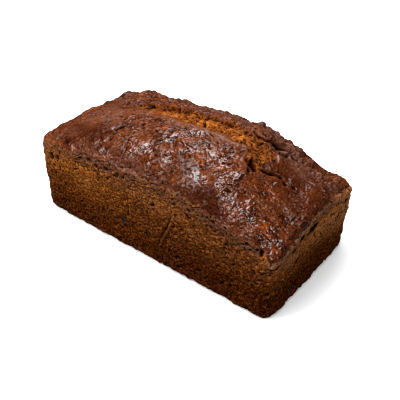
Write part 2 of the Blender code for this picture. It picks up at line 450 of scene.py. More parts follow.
# Slits and ridges of the glazed crust, as (x, y) seen from above.
CRUST_STROKES = strokes(
    (1.5, -4.2, (-45, -31), (-44.5, -28), (-43, -23)), (1.3, -3.2, (-43.5, -36.5), (-41, -33)),
    (1.3, -3.0, (-30, -22), (-27, -19.5)), (1.2, -2.6, (-15, -25), (-12, -24)),
    (1.4, -3.4, (-50, -18), (-49, -14)), (1.2, -2.8, (-43, -42), (-42, -38)),
    (2.4, -1.1, (-79, -50), (-72, -50)), (1.8, -3.6, (-76, 14), (-75, 24)),
    (0.9, -1.6, (-4, -26.5), (1, -26.5), (6, -24)), (1.3, -1.4, (-7, -33), (-3, -29)),
    (0.9, -1.2, (4, -40), (10, -37.5)), (1.0, -3.4, (63, -10), (68, -7), (71, -2), (75, 0)),
    (2.4, 1.2, (60, -5), (66, -3), (69, 2)), (1.2, -2.2, (-38, -12), (-35, -7)),
    (1.1, -1.5, (-52, -40), (-46, -47)), (1.1, -1.5, (-44, -46), (-37, -53)),
    (1.1, -2.0, (-30, -33), (-27, -30)), (1.2, -2.4, (-60, 12), (-52, 16), (-46, 15)),
    (1.0, -1.3, (55, -40), (59, -38)), (1.9, -4.0, (55, -9), (58, -13), (62, -15)),
    (1.4, -3.0, (57, -17), (60, -19)), (1.2, -3.5, (76, -2), (79, -1)),
    (1.2, -3.0, (82, -1), (84, 1)), (1.1, 1.2, (-8, -22), (-1, -19), (4, -21)),
    (1.0, 0.8, (-3, -29), (4, -28)), (1.0, 1.0, (10, -27), (17, -31), (22, -30)),
    (1.0, 1.1, (16, -35), (26, -33)), (1.1, 1.2, (28, -21), (31, -28), (39, -31)),
    (1.0, 0.9, (8, -16), (21, -12.5), (28, -15.5)), (1.1, 1.0, (36, -19), (42, -22)),
    (1.0, 1.1, (44, -20), (43, -27), (50, -23)), (1.1, 1.3, (51, -32), (57, -30), (59, -22)),
    (1.0, 0.9, (0, -38), (8, -34)), (1.0, 1.0, (42, -34), (49, -31)),
    (2.4, 2.2, (60, 20), (67, 29), (74, 28.5), (86, 28.5), (92, 34), (98, 35)),
    (1.6, 1.3, (32, 27), (39, 33), (45, 35.5), (55, 36), (65, 35), (76, 38)),
    (1.1, -2.6, (41, 13.5), (45.5, 12.5), (51, 15)),
    (1.3, -3.6, (50, 14), (56, 20.5), (60, 24), (65, 28)),
    (2.6, 1.8, (36, 18), (44, 17.5), (52, 20), (57, 25.5), (63, 30), (69, 34.5), (78, 38)),
    (1.6, -2.5, (-35, 11), (-31, 13)), (1.6, -2.5, (-37, 29), (-34, 31)),
    (1.2, -2.5, (6, 4), (12, -4)), (1.5, -2.5, (30, 6), (33, 4)),
    (1.2, -2.2, (45, 5), (49, 8), (50, 12)), (1.2, -1.8, (20, 2), (26, -1)),
)

# Lone swellings of the glazed crust, with their heights in mm, and where it is rough and lumpy.
CRUST_SWELLINGS = patches(
    (-20, -43.5, 9, 4.5, 0.9, -42), (-7, -42, 12, 4, 0.9, -40), (8, -40, 6, 4, 0.8, -75),
    (36, -43, 7, 4.5, 0.8), (-21, -12, 8, 3, 0.8, -15), (-66, -1, 6, 3, 0.9, -40),
    (64, 12, 4, 5, 0.9), (66, -12, 5, 4, 0.8), (57, -17, 4, 5, 0.7), (-94, 38, 5, 5, 2.4),
    (-78, 48, 6, 5, 2.4), (-49, 36, 6, 4, 1.6), (34, 35, 3.4, 3.4, 1.9), (45, 38, 5, 4, 1.4),
    (63, 42, 3.2, 3.2, 1.7), (73, 41, 3.2, 3.2, 1.5), (92, 46, 4, 4, 2.0),
)
RUGGED_PATCHES = patches(
    (-52, 30, 34, 17, 1.0), (20, 32, 60, 13, 0.9), (60, 30, 30, 12, 0.8), (97, 28, 10, 22, 0.8),
)

# Pillows of glaze that mirror the light, thick where they pass 1, and where the glaze has
# blistered.
GLAZE_PATCHES = patches(
    (-20, -43.5, 8, 3.5, 1.4, -42), (-7, -42, 11, 3, 1.4, -40), (8, -40, 6, 3, 1.4, -75),
    (2, -24.5, 7, 2.5, 1.2, 6), (-2, -30, 4, 4, 1.0), (13, -17, 8, 4, 1.2, 30),
    (19, -31, 9, 2.5, 1.2, -8), (34, -28, 6, 2.5, 1.1, -32), (45, -27, 9, 5, 1.3, -40),
    (57, -27, 6, 2.5, 1.3, 65), (36, -43, 7, 4.5, 1.5), (52, -40, 5, 3.5, 1.1, -30),
    (25, -26, 34, 12, 0.25), (73, -38, 9, 6, 0.6), (64, -47, 8, 5, 0.6), (78, -42, 26, 13, 0.45),
    (96, -46, 10, 9, 0.8), (75, -20, 6, 5, 0.7), (66, -22, 3, 3, 0.9), (74, -8, 2.5, 3.5, 1.1),
    (64.5, 14, 4, 4, 1.3), (75, 10, 2.5, 2.5, 1.1), (82, 7, 2.5, 2.5, 1.1), (89, 13, 3, 2.5, 1.1),
    (97, 14, 3.5, 3.5, 1.2), (86, 0, 20, 22, 0.3), (48, 13, 2.5, 2.5, 1.0), (24, 28, 3, 2.5, 1.0),
    (-26, -9, 4.5, 4, 1.2), (66, 4, 4, 3, 1.1), (-80, 25, 6, 5, 0.8), (-53, 37, 7, 5, 0.8),
    (-30, 30, 8, 5, 0.9), (-11, 35, 7, 4, 0.7), (12, 31, 7, 4, 0.7), (31, 38, 6, 4, 0.7),
    (-9, -10, 7, 4, 0.7), (-67.5, -0.5, 4, 2.2, 1.3, 45), (-46, -12, 3, 2.2, 1.2),
    (-42, -18, 3, 2.2, 1.2), (-32, -27, 3, 2.5, 0.8), (-48, -31, 2.5, 3.5, 0.7),
    (-66, -25, 2.5, 2.5, 0.8), (-71, -54, 6, 2.5, 1.1), (-74, 25, 2.5, 2.5, 1.0),
    (-42, -46, 14, 5, 0.6, -35), (-93, -30, 4, 6, 0.6), (-89, -6, 4, 6, 0.6),
)
BLISTER_PATCHES = patches(
    (58, -44, 18, 9, 1.0), (80, -44, 20, 12, 1.0), (97, -46, 9, 10, 1.0), (70, -32, 14, 9, 0.8),
    (88, -12, 14, 16, 0.6), (46, -30, 12, 10, 0.5), (22, -20, 10, 7, 0.5),
)

# Where the crust is smooth, dark as if scorched, pale and matte with partly painted sheen, and
# warm in colour.
SMOOTH_PATCHES = patches(
    (80, 10, 14, 12, 1.0), (-86, -10, 14, 24, 0.4), (-60, -12, 12, 14, 0.4), (34, -44, 10, 7, 1.1),
    (24, -42, 10, 6, 0.8), (-77, -30, 18, 12, 0.8), (-62, 4, 10, 8, 0.6),
)
DARK_PATCHES = patches(
    (-50, 12, 16, 7, 0.7), (-24, 16, 12, 5, 0.5), (4, 9, 14, 4, 0.4), (54, -1, 5, 5, 0.4),
    (46, -48, 9, 5, 1.5), (56, -51, 8, 4, 0.8, -10), (-12, -50, 16, 4, 0.7), (80, 12, 26, 22, 0.3),
    (40, 30, 60, 12, 0.4), (22, -42, 10, 4, 0.5), (60, -13, 4, 3, 0.9), (-55, -36, 12, 8, 0.45),
    (-66, -46, 22, 9, 0.4), (48, 30, 10, 4, 0.4), (88, -4, 16, 14, 0.45), (-77, -34, 14, 8, 0.6),
    (-60, -38, 8, 6, 0.4), (-88, 10, 10, 14, 0.35), (-75, -50, 5, 4, 0.5), (22, 19, 13, 5, 0.3),
)
PALE_PATCHES = patches(
    (-66, -16, 16, 12, 0.9, 20), (-80, 5, 12, 20, 0.5), (66, 25, 8, 3, 1.2, 45),
    (79, 17, 12, 7, 0.8), (82, 28.5, 10, 3.5, 1.2), (97, 33, 8, 4, 0.9, -60),
    (50, 34, 18, 4, 1.0, 15), (20, 24, 50, 8, 0.35), (30, 30, 60, 12, 0.5),
    (-10, -53, 40, 4, 0.7, -2), (60, -56, 25, 3, 0.4),
)
WARM_PATCHES = patches(
    (32, -36, 3, 3, 1.0), (40, -38, 4, 2.5, 0.8), (38, -54, 4, 2, 1.0), (-94, 4, 7, 9, 0.6),
    (-97, -44, 6, 9, 0.5), (-53, -34, 5, 6, 0.4), (94, -44, 13, 11, 0.9), (-73, -54, 8, 4, 0.5),
    (-16, -50, 8, 4, 0.6), (-37, -52, 7, 3, 0.5), (60, -20, 8, 6, 0.3), (75, -20, 14, 8, 0.3),
    (-60, 35, 14, 8, 0.5), (57, 1, 5, 7, 0.9, -20), (42, 1, 12, 4, 0.8, -8), (12, 1, 16, 4, 0.6),
    (3, 3.5, 9, 4, 0.7), (34, 4, 9, 5, 0.5), (-20, 6, 20, 5, 0.25), (-24, -6, 10, 5, 0.5),
)

# Where the sides' crumb is bare and bright: on the front as (x, z), on the right end as (y, z). On
# the right end's upper part, most at its far corner, this is partly painted light.
FRONT_WARM = patches(
    (-88, 56, 14, 9, 0.6), (-60, 48, 26, 14, 0.5), (20, 62, 18, 6, 0.35), (98, 57, 6, 6, 0.8),
)
RIGHT_WARM = patches(
    (48, 46, 9, 12, 1.3), (42, 36, 15, 14, 0.9), (5, 48, 28, 8, 0.8), (15, 38, 20, 10, 0.5),
    (-30, 44, 16, 8, 0.4), (-50, 52, 6, 5, 0.8), (29, 46, 10, 9, 0.7),
)

# Where the sides are paler and greyer, in the same two ways, and where fruit lies bare in them. On
# the right end's upper part, most at its far corner, the pale patches are partly painted light.
FRONT_PALE = patches(
    (45, 52, 40, 12, 0.12, -8), (-2, 60, 34, 8, 0.2), (-56, 44, 4, 3, 0.7),
)
RIGHT_PALE = patches(
    (47, 46, 9, 12, 0.7), (36, 34, 18, 15, 1.0), (8, 42, 20, 10, 0.7), (-30, 44, 12, 8, 0.5),
)
FRONT_FRUIT = patches(
    (-23, 28, 2.6, 4.5, 1.2, 8), (-5, 48, 3, 4, 0.7, 20), (1, 27, 2, 2.6, 0.9),
    (6, 36, 2.4, 3, 0.6), (24, 28, 2.2, 4, 0.7), (52, 32, 3.4, 2.4, 0.8, 20),
    (27, 20, 2.4, 2, 0.6), (-3, 40, 1.6, 5, 0.7),
)

# Where the tear runs on beyond the split's own path.
TORN_PATCHES = patches(
    (51, 3.5, 9, 7.5, 1.2, 20), (56.5, -4, 4.5, 11, 1.4, -8), (-34, 14, 16, 5, 0.9, 10),
    (62, -13, 4, 4, 0.7),
)

# Creases, pits and scars of the side that shows most, as (x, z).
FRONT_STROKES = strokes(
    (0.7, -0.9, (-17.5, 52), (-17.5, 18)), (0.8, 0.6, (-15.8, 50), (-15.8, 20)),
    (0.7, -0.9, (0, 49), (1, 30)), (1.0, -0.9, (21.5, 60), (21, 52), (15, 38), (5, 15)),
    (1.2, -2.0, (-46, 67), (-42.5, 68)), (1.4, -2.4, (-38, 68.5), (-33.5, 69.5)),
    (1.7, -1.2, (-53, 69), (-48, 70)), (1.1, -1.6, (-29, 68), (-24, 67)),
    (1.0, -1.4, (-60, 60), (-56, 60)), (0.9, -1.2, (-36, 60), (-33, 61)),
    (0.9, -1.0, (-45, 55), (-42, 55)), (0.5, 0.5, (23, 66), (25, 60)),
    (2.4, -4.0, (-90, 55), (-87, 55)), (2.2, -4.0, (-84, 56), (-81.5, 55.5)),
    (1.4, -2.2, (-81, 62), (-79, 62)), (1.4, -2.0, (-82, 47), (-80, 47)),
    (1.6, -1.6, (-79, 33), (-77, 33.5)), (1.2, -1.3, (-31, 63), (-29, 63)),
    (0.9, -2.6, (53, 70.5), (58, 69)), (1.0, -2.0, (34, 64), (39, 62)),
    (0.9, -1.8, (65, 52.5), (69, 51)), (1.0, -2.0, (89, 45.5), (91, 44.5)),
    (0.8, -1.8, (22, 68.5), (25, 67)), (0.8, -2.6, (92.5, 63), (93.6, 61), (94.6, 58.5)),
    (1.4, 0.9, (24.5, 65), (24.5, 54), (18.5, 40), (8, 17)), (0.9, -1.3, (33, 65), (37, 65)),
    (1.0, -1.5, (91, 45), (91, 41)), (0.9, -1.2, (69, 52), (73, 52)),
    (1.3, -1.6, (45, 8), (47, 8)), (2.2, -1.6, (-89, 2), (-82, 3)),
)

# Slits and pits of the end nearest the eye, as (y, z).
RIGHT_STROKES = strokes(
    (1.5, -3.8, (4, 52.4), (1, 51.6), (-4, 52.0), (-9, 52.6)),
    (1.6, -2.4, (-7, 51.6), (-10.5, 52.2)), (1.5, -3.4, (-13.5, 52.0), (-18.5, 51.6)),
    (1.0, -2.4, (-16, 37.5), (-21, 35.5), (-26, 33.5)), (0.9, -1.4, (-30, 47), (-22, 48)),
    (2.0, -3.6, (30.5, 39), (33.5, 39)), (1.6, -2.2, (33, 34.5), (36, 34)),
    (1.0, -1.8, (27, 38.5), (29, 38.5)), (1.2, -2.6, (41, 41), (42.5, 34)),
    (1.2, -2.4, (40, 45), (46, 43.5)), (1.4, -2.6, (8, 38), (9.5, 38.5)),
    (1.5, -2.8, (-1.5, 44), (0.5, 44.8)), (1.1, -2.0, (19.5, 47), (21, 46.5)),
    (1.1, -1.8, (19, 38.5), (20, 38.5)), (1.4, -2.6, (37, 20), (38.5, 20)),
    (1.5, -2.6, (40, 14), (42, 14)), (1.2, -2.0, (24, 27), (25.5, 27)),
    (0.8, -1.8, (-54, 51), (-50, 48.5), (-46, 47), (-41, 48)), (2.0, -1.6, (-24, 15.5), (-20, 16)),
    (1.8, -1.4, (-12, 15.5), (-8, 16)), (1.2, -1.8, (47, 46.5), (55, 44)),
    (1.8, 1.0, (48, 50), (55, 50)),
)


class Carving:
    """The relief that baking leaves on each part of the loaf, one height in mm for each vertex.

    The solid's triangles are too coarse for it. Every form is a share, or noise from about -1 to
    1, and the number before it is its height in mm. The sizes below are in mm as well.
    """

    swelling_size: float = 8.5
    lump_size: float = 4.4
    knob_size: float = 2.3
    grain_size: float = 1.3
    pore_size: float = 1.9
    warp_size: float = 9.0
    warp_reach: float = 3.0
    jag_size: float = 4.5
    jag_reach: float = 1.1
    corner_at: Place = (101.0, 53.0)
    corner_reach: float = 16.0
    corner_depth: float = 2.6

    def __init__(self, places: Array, surface: Surface) -> None:
        """Reads the forms that several parts of the loaf share.

        Args:
            places: Where every vertex is before carving.
            surface: What the surface is there.
        """
        self.places = places
        self.x, self.y, self.z = places.T
        self.surface = surface
        self.raisin = BareFruit()
        self.plain = Field(places)
        warp = [self.plain.waves(self.warp_size, seed) for seed in (3.1, 7.7)]
        warp = np.stack(warp, axis=1) * self.warp_reach
        self.bent = Field(places + np.column_stack([warp, warp[:, 0]]))
        self.swells = self.plain.waves(self.swelling_size, 0.7)
        self.lumps = self.plain.waves(self.lump_size, 2.2)
        self.knobs = self.plain.waves(self.knob_size, 8.4)
        self.grains = self.plain.waves(self.grain_size, 9.8)
        self.pebbles = self.plain.domes((3.2, 3.5, 3.3), 5.3, 0.1)
        self.pore_gap, self.pore_luck = self.plain.cells(self.pore_size, 9.1)
        jags = (self.plain.waves(self.jag_size, seed) for seed in (11.3, 14.9))
        self.jags = [self.jag_reach * jag for jag in jags]
        slits = relief_of(CRUST_STROKES, self.x + self.jags[0], self.y + self.jags[1])
        self.slits = slits * (1.0 + 0.5 * self.lumps + 0.6 * self.knobs)
        self.lip = hump(surface.torn_inside, -3.0, 3.2) * (self.y < surface.split.centre(self.x))
        self.lip *= ease(self.x, -52.0, -38.0) * ease(-self.x, -68.0, -52.0)
        self.wall_crack_shade = np.zeros(len(places))

    def relief(self) -> Array:
        """Works out how far each vertex moves outwards, in mm."""
        surface = self.surface
        glazed = surface.crust * (1.0 - surface.torn)
        return glazed * self._crust() + surface.torn * self._torn() + surface.side * self._wall()

    def painted_crack_shade(self) -> Array:
        """Gives how dark each slit, pit or tear is painted with shade, from 0 to 1, by how deep it
        lies.
        """
        depth = np.where(self.surface.crust > 0.5, -self.slits / 1.4, self.wall_crack_shade)
        return np.clip(depth - 0.3, 0.0, 1.0)

    def _crust(self) -> Array:
        """Wrinkles and beads of the glaze, blisters, crags, swellings, the lip and slits."""
        x, y, surface = self.x, self.y, self.surface
        blister = share_of(BLISTER_PATCHES, x, y)
        glazed = share_of(GLAZE_PATCHES, x, y)
        rugged = share_of(RUGGED_PATCHES, x, y)
        calm = (1.0 - 0.7 * self.lip) * (1.0 - 0.6 * share_of(SMOOTH_PATCHES, x, y))
        behind = ease(y - surface.split.centre(x), 0.0, 8.0)
        lively = np.maximum(ease(x, -40.0, 10.0), behind)
        sharp = 1.0 - np.maximum(0.8 * glazed, 0.9 * blister)
        rough = np.clip(rugged + 0.55 * (1.0 - glazed), 0.0, 1.0) * (1.0 - blister)
        busy = ease(self.plain.waves(17.0, 6.1) + 0.5 * glazed, -0.2, 0.5)
        creases = 0.8 * self.bent.creases((11.0, 6.5, 7.0), 1.3, 0.09)
        creases += 0.4 * self.bent.creases((6.0, 4.0, 4.0), 2.9, 0.09)
        beads = self.plain.domes((2.6, 2.3, 2.4), 8.4, 0.0, 0.35)
        bubbles = self.bent.domes((3.0, 2.4, 2.5), 4.4, 0.3)
        boulders = self.bent.domes(7.0, 2.7, 0.2)
        rim_lumps = self.bent.domes((3.4, 7.5, 5.5), 8.1, 0.2)
        folds = (
            blend(1.0, 1.2, lively) * self.swells
            + blend(0.6, 0.5, lively) * self.lumps
            + 0.35 * lively * glazed * self.bent.waves((7.5, 4.4, 5.0), 5.1)
            - blend(0.7, 0.8, lively) * busy * creases
        )
        crust = calm * (
            (1.0 - 0.5 * blister) * folds
            + 0.6 * sharp * self.knobs
            + 0.28 * glazed * (1.0 - blister) * beads
            + blend(0.24, 0.15, glazed) * self.grains
            + 0.75 * blister * bubbles
            + 1.1 * rough * self.pebbles
            + 2.4 * rugged * boulders
            + 0.9 * hump(surface.edge_gap, 5.0, 5.0) * surface.front * rim_lumps
        )
        crust += total_of(CRUST_SWELLINGS, x, y) + 0.5 * self.lip + self.slits
        crust += 0.3 * hump(surface.edge_gap, 0.6, 1.0) * surface.front
        crust *= 1.0 - 0.6 * self.raisin.share(self.places)
        return crust + self.raisin.rim * self.raisin.ring(self.places)

    def _torn(self) -> Array:
        """Clumps, gaps and holes of the torn crumb."""
        clumps = self.plain.domes((6.0, 4.8, 4.8), 6.6, 0.1, 0.45)
        gaps = self.bent.creases(7.5, 6.6, 0.07)
        holes = np.clip(1.0 - self.pore_gap / 0.5, 0.0, 1.0) * (self.pore_luck > 0.72)
        raised = 1.8 * clumps + 1.1 * self.swells + 1.0 * self.lumps + 0.7 * self.knobs + 0.8
        raised += 0.45 * self.grains + 0.9 * self.pebbles + 0.9 * self.slits
        return raised - 0.5 * gaps - 0.7 * holes

    def _wall(self) -> Array:
        """Lumps, pits, pores and tears of the sides, and the ledge under the crust's edge."""
        x, y, z, surface = self.x, self.y, self.z, self.surface
        front, right_end, gap = surface.front, surface.right_end, surface.edge_gap
        pit_gap, pit_luck = self.bent.cells((4.2, 4.2, 2.8), 6.2)
        radius = 0.10 + 0.42 * np.clip(pit_luck - 0.3, 0.0, 1.0) / 0.7
        pits = ease(radius - pit_gap, 0.0, 0.16) * (pit_luck > 0.3)
        pores = ease(0.34 - self.pore_gap, 0.0, 0.2) * (self.pore_luck > 0.5)
        tears = self.bent.creases((5.5, 5.5, 2.6), 13.7, 0.06)
        tears *= ease(self.plain.waves(13.0, 15.2), -0.1, 0.2)
        wall = (
            0.5 * self.plain.waves(6.5, 1.9)
            + 0.6 * self.lumps
            + 0.6 * self.knobs
            + 0.33 * self.grains
            + 0.12 * self.plain.waves(0.9, 5.5)
            + 0.4 * self.plain.waves(11.0, 3.9)
            - blend(1.9, 1.1, right_end) * pits
            - 0.7 * pores
            - 1.0 * tears
        )
        sunken = ease(self.plain.waves((7.0, 7.0, 3.0), 4.9), -0.1, 0.4)
        wall -= 0.6 * hump(gap, -4.0, 1.8) * sunken
        ledge = hump(gap, -2.0, 2.6) * (0.8 + 1.2 * self.swells)
        wall += (0.3 * front + 0.35 * right_end) * ledge
        jag, rise = 0.6 * self.jags[0], z + 0.6 * self.jags[1]
        lines = front * relief_of(FRONT_STROKES, x + jag, rise)
        lines += right_end * relief_of(RIGHT_STROKES, y + jag, rise)
        wall += lines * (1.0 - 0.45 * right_end)
        corner = hump(x, self.corner_at[0], self.corner_reach)
        corner *= hump(y, self.corner_at[1], self.corner_reach)
        wall -= self.corner_depth * corner * ease(-z, -42.0, -8.0)
        # Painted shadow in the sides' pits, tears and slits, spread wider on the right end.
        self.wall_crack_shade = (0.9 * pits + 0.8 * tears - lines / 1.2) * (1.0 + 0.8 * right_end)
        return wall * (1.0 - 0.6 * surface.base)


def select_only(thing: bpy.types.Object) -> None:
    """Selects one object, makes it the active one and deselects the rest."""
    bpy.ops.object.select_all(action="DESELECT")
    thing.select_set(True)
    bpy.context.view_layer.objects.active = thing


def apply_modifier(thing: bpy.types.Object, kind: str, **settings: object) -> None:
    """Adds a modifier to the active object, with its settings, and applies it."""
    modifier = thing.modifiers.new(kind.lower(), kind)
    for name, value in settings.items():
        setattr(modifier, name, value)
    bpy.ops.object.modifier_apply(modifier=modifier.name)


@dataclass
class LoafSkin:
    """The loaf's whole surface: made fine from the solid, carved, coloured and parted.

    Attributes:
        cell: Size of the fine mesh's cells, in metres.
        even_rounds: How often the fine mesh is evened before carving.
        surface: Where crust, crumb and sides lie.
    """

    cell: float = 0.00052
    even_rounds: int = 6
    surface: Surface = field(default_factory=Surface)

    def build(self) -> dict[Zone, bpy.types.Object]:
        """Makes the pieces of the loaf's surface.

        Returns:
            The piece of each zone, carved and with its attributes, but not yet dressed.
        """
        whole = self._fine_copy()
        skin = Skin(whole)
        LOG.info("fine skin: %d vertices", len(skin.places))
        self.surface.read(skin)
        zones = self.surface.zones(skin)
        carving = Carving(skin.places.copy(), self.surface)
        skin.move(carving.relief())
        self._paint_crust(skin, carving)
        self._paint_sides(skin, carving)
        self._store_normals(skin)
        return self._part(whole, zones)

    def _fine_copy(self) -> bpy.types.Object:
        """Copies the solid's form into an even mesh of small cells."""
        whole = bpy.data.objects.new("loaf_skin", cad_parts[NODE].data.copy())
        bpy.context.scene.collection.objects.link(whole)
        whole.data.materials.clear()
        select_only(whole)
        bpy.ops.object.mode_set(mode="EDIT")
        bpy.ops.mesh.select_all(action="SELECT")
        bpy.ops.mesh.remove_doubles(threshold=1e-6)
        bpy.ops.mesh.tris_convert_to_quads()
        bpy.ops.object.mode_set(mode="OBJECT")
        apply_modifier(whole, "SUBSURF", levels=1, render_levels=1)
        apply_modifier(whole, "REMESH", mode="VOXEL", voxel_size=self.cell)
        apply_modifier(whole, "SMOOTH", factor=0.5, iterations=self.even_rounds)
        return whole

    def _paint_crust(self, skin: Skin, carving: Carving) -> None:
        """Stores what the materials need to know about the crust and about every hollow."""
        surface, x, y = self.surface, carving.x, carving.y
        skin.paint("edge_gap", surface.edge_gap)
        skin.paint("torn", surface.torn)
        skin.paint("lip", carving.lip)
        # Painted shadow in every slit, pit and tear.
        skin.paint("crack_shade", carving.painted_crack_shade())
        skin.paint("hollow", skin.hollowness(14, 0.6))
        skin.paint("fine_hollow", skin.hollowness(3, 0.12))
        glaze = total_of(GLAZE_PATCHES, x, y) * surface.crust
        skin.paint("glaze", np.minimum(glaze, 1.0))
        skin.paint("thick", ease(glaze, 0.95, 1.3))
        skin.paint("dark", share_of(DARK_PATCHES, x, y) * surface.crust)

    def _paint_sides(self, skin: Skin, carving: Carving) -> None:
        """Stores what the materials need to know about the sides, or about sides and crust."""
        surface, top, raisin = self.surface, self.surface.crust, carving.raisin
        x, y, z = carving.places.T
        front, right_end, gap = surface.front, surface.right_end, surface.edge_gap
        # On the right end the pale share is partly painted light, and on the crust partly painted
        # sheen.
        pale = share_of(FRONT_PALE, x, z) * front + share_of(RIGHT_PALE, y, z) * right_end
        pale_top = share_of(PALE_PATCHES, x, y) + 0.8 * raisin.ring(carving.places)
        skin.paint("pale", blend(pale, pale_top, top))
        warm = share_of(FRONT_WARM, x, z) * front + share_of(RIGHT_WARM, y, z) * right_end
        skin.paint("warm", blend(warm, share_of(WARM_PATCHES, x, y), top))
        fruit = share_of(FRONT_FRUIT, x, z) * front * surface.side
        skin.paint("fruit", fruit + raisin.share(carving.places) * top)
        crest = hump(gap, -1.8, 3.4) * right_end * (1.0 - 0.8 * ease(y, 20.0, 40.0))
        skin.paint("crest", crest)
        # Painted shade: darker towards the base, partly real browning against the tin; darker
        # towards the front's right and lighter on the right end's top, lifted where the sides are
        # pale.
        painted_shade = ease(-z, -66.0, -6.0) * blend(0.90, 1.0, ease(x, 10.0, 90.0))
        painted_shade += 0.18 * ease(x, -10.0, 30.0) * front
        painted_shade += right_end * (0.12 * ease(-gap, 22.0, 40.0) - 0.25 * ease(gap, -34.0, -14.0))
        skin.paint("shade", np.clip(painted_shade, 0.0, 1.0) * (1.0 - 0.7 * pale))
        skin.paint("base", surface.base)

    def _store_normals(self, skin: Skin) -> None:
        """Keeps the whole skin's normals, so that no seam shows between the parted pieces."""
        layer = skin.mesh.attributes.new("whole_normal", "FLOAT_VECTOR", "POINT")
        layer.data.foreach_set("vector", skin.normals.astype(np.float32).ravel())

    def _part(
        self, whole: bpy.types.Object, zones: dict[Zone, Array]
    ) -> dict[Zone, bpy.types.Object]:
        """Parts the skin into one piece for each zone."""
        ranks = np.zeros(len(whole.data.vertices))
        for rank, inside in enumerate(zones.values()):
            ranks[inside] = rank
        layer = whole.data.attributes.new("zone", "FLOAT", "POINT")
        layer.data.foreach_set("value", ranks.astype(np.float32))
        *others, last = zones
        pieces = {}
        for rank, zone in enumerate(others):
            pieces[zone] = self._separate(whole, rank, zone.value)
        whole.name = whole.data.name = last.value
        pieces[last] = whole
        for piece in pieces.values():
            self._restore_normals(piece)
        return pieces

    def _separate(self, whole: bpy.types.Object, rank: int, name: str) -> bpy.types.Object:
        """Takes the faces of one zone off the skin, into an object of its own."""
        mesh = whole.data
        ranks = np.empty(len(mesh.vertices), np.float32)
        mesh.attributes["zone"].data.foreach_get("value", ranks)
        corners = np.empty(len(mesh.loops), np.int32)
        mesh.loops.foreach_get("vertex_index", corners)
        starts = np.empty(len(mesh.polygons), np.int32)
        mesh.polygons.foreach_get("loop_start", starts)
        chosen = ranks[corners[starts]] == rank
        select_only(whole)
        bpy.ops.object.mode_set(mode="EDIT")
        bpy.ops.mesh.select_mode(type="FACE")
        bpy.ops.mesh.select_all(action="DESELECT")
        bpy.ops.object.mode_set(mode="OBJECT")
        mesh.polygons.foreach_set("select", chosen)
        bpy.ops.object.mode_set(mode="EDIT")
        bpy.ops.mesh.separate(type="SELECTED")
        bpy.ops.object.mode_set(mode="OBJECT")
        parted = next(found for found in bpy.context.selected_objects if found is not whole)
        parted.name = parted.data.name = name
        return parted

    def _restore_normals(self, piece: bpy.types.Object) -> None:
        """Gives a parted piece the normals that the whole skin had."""
        mesh = piece.data
        mesh.polygons.foreach_set("use_smooth", np.ones(len(mesh.polygons), bool))
        normals = np.empty(len(mesh.vertices) * 3, np.float32)
        mesh.attributes["whole_normal"].data.foreach_get("vector", normals)
        mesh.attributes.remove(mesh.attributes["whole_normal"])
        mesh.attributes.remove(mesh.attributes["zone"])
        mesh.normals_split_custom_set_from_vertices(normals.reshape(-1, 3))
        mesh.update()


class Board:
    """Adds nodes to one shader tree and joins them."""

    def __init__(self, tree: bpy.types.NodeTree, place: Socket | None = None) -> None:
        """Keeps the tree, and the coordinates that its patterns are read at."""
        self.tree = tree
        self.place = place

    def add(self, kind: str, **settings: object) -> bpy.types.Node:
        """Adds a node of one kind, with its settings."""
        node = self.tree.nodes.new(kind)
        for name, value in settings.items():
            setattr(node, name, value)
        return node

    def feed(self, socket: Socket, value: object) -> None:
        """Joins a socket to another, or sets its number or colour."""
        if isinstance(value, bpy.types.NodeSocket):
            self.tree.links.new(value, socket)
        elif isinstance(value, tuple) and len(value) == 3 and socket.type == "RGBA":
            socket.default_value = (*value, 1.0)
        else:
            socket.default_value = value

    def painted(self, name: str) -> Socket:
        """Reads one of the skin's painted numbers."""
        return self.add("ShaderNodeAttribute", attribute_name=name).outputs["Fac"]

    def maths(self, operation: str, *values: object, clamp: bool = False) -> Socket:
        """Works out one sum, such as ADD or MAXIMUM."""
        node = self.add("ShaderNodeMath", operation=operation, use_clamp=clamp)
        for socket, value in zip(node.inputs, values):
            self.feed(socket, value)
        return node.outputs[0]

    def times(self, first: object, *others: object, clamp: bool = False) -> object:
        """Multiplies values, or gives the only one back."""
        for other in others:
            first = self.maths("MULTIPLY", first, other, clamp=clamp)
        return first

    def scaled(self, value: object, factor: object, start: object, clamp: bool = False) -> Socket:
        """Gives start plus factor times the value."""
        return self.maths("MULTIPLY_ADD", value, factor, start, clamp=clamp)

    def between(self, value: object, low: object, high: object) -> Socket:
        """Rises smoothly from 0 at low to 1 at high."""
        node = self.add("ShaderNodeMapRange", interpolation_type="SMOOTHSTEP")
        self.feed(node.inputs["Value"], value)
        self.feed(node.inputs["From Min"], low)
        self.feed(node.inputs["From Max"], high)
        return node.outputs["Result"]

    def mix(self, share: object, first: object, second: object, kind: str = "MIX") -> Socket:
        """Mixes two colours."""
        node = self.add("ShaderNodeMix", data_type="RGBA", blend_type=kind)
        self.feed(node.inputs[0], share)
        self.feed(node.inputs[6], first)
        self.feed(node.inputs[7], second)
        return node.outputs[2]

    def noise(self, size: object, detail: float = 3.0, rough: float = 0.55) -> Socket:
        """Gives noise from 0 to 1 with features of this size in millimetres."""
        node = self.add("ShaderNodeTexNoise")
        self.feed(node.inputs["Vector"], self.place)
        self.feed(node.inputs["Scale"], self.maths("DIVIDE", 1.0 / MM, size))
        node.inputs["Detail"].default_value = detail
        node.inputs["Roughness"].default_value = rough
        return node.outputs["Fac"]

    def spots(self, size: float, detail: float, rough: float, low: float, high: float) -> Socket:
        """Gives soft-edged spots of noise, 0 where it is low and 1 where it is high."""
        return self.between(self.noise(size, detail, rough), low, high)

    def group(self, tree: bpy.types.NodeTree, **values: object) -> dict[str, Socket]:
        """Places a shared group and feeds its inputs, named with spaces for underscores."""
        node = self.add("ShaderNodeGroup", node_tree=tree)
        for name, value in values.items():
            self.feed(node.inputs[name.replace("_", " ")], value)
        return dict(node.outputs.items())


